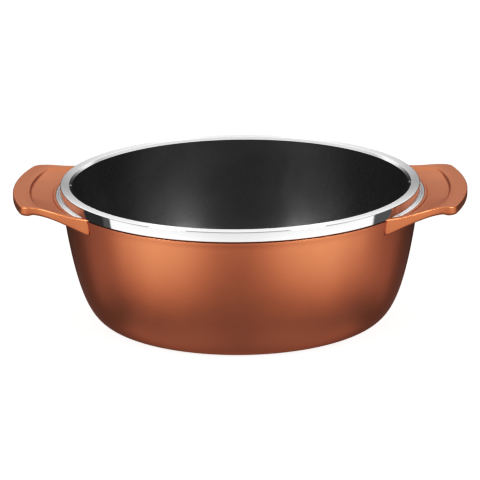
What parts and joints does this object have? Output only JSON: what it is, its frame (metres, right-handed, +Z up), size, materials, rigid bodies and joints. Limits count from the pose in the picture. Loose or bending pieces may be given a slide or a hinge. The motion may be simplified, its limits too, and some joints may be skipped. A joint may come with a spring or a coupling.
{
  "type": "casserole pot",
  "caption": "Round cast casserole pot with a copper-coloured outside, black non-stick inside, polished rim ring and two side plate handles, without a lid.",
  "frame": {"origin": "centre of the base, on the surface that the pot stands on", "axes": "+X points out through the right-hand handle, +Y to the back and +Z up along the pot's axis"},
  "size_m": [0.3722, 0.295, 0.113],
  "materials": {
    "copper_lacquer": "satin",
    "polished_rim": "polished",
    "black_nonstick": "satin",
    "plate_steel": "satin",
    "screw_steel": "satin"
  },
  "bodies": {
    "root": {"pot_body": "copper_lacquer", "rim_ring": "polished_rim", "nonstick_lining": "black_nonstick", "induction_plate": "plate_steel", "handle_left": "copper_lacquer", "handle_right": "copper_lacquer", "screw_left_front": "screw_steel", "screw_left_back": "screw_steel", "screw_right_front": "screw_steel", "screw_right_back": "screw_steel", "washer_left_front": "screw_steel", "washer_left_back": "screw_steel", "washer_right_front": "screw_steel", "washer_right_back": "screw_steel"}
  },
  "joints": []
}
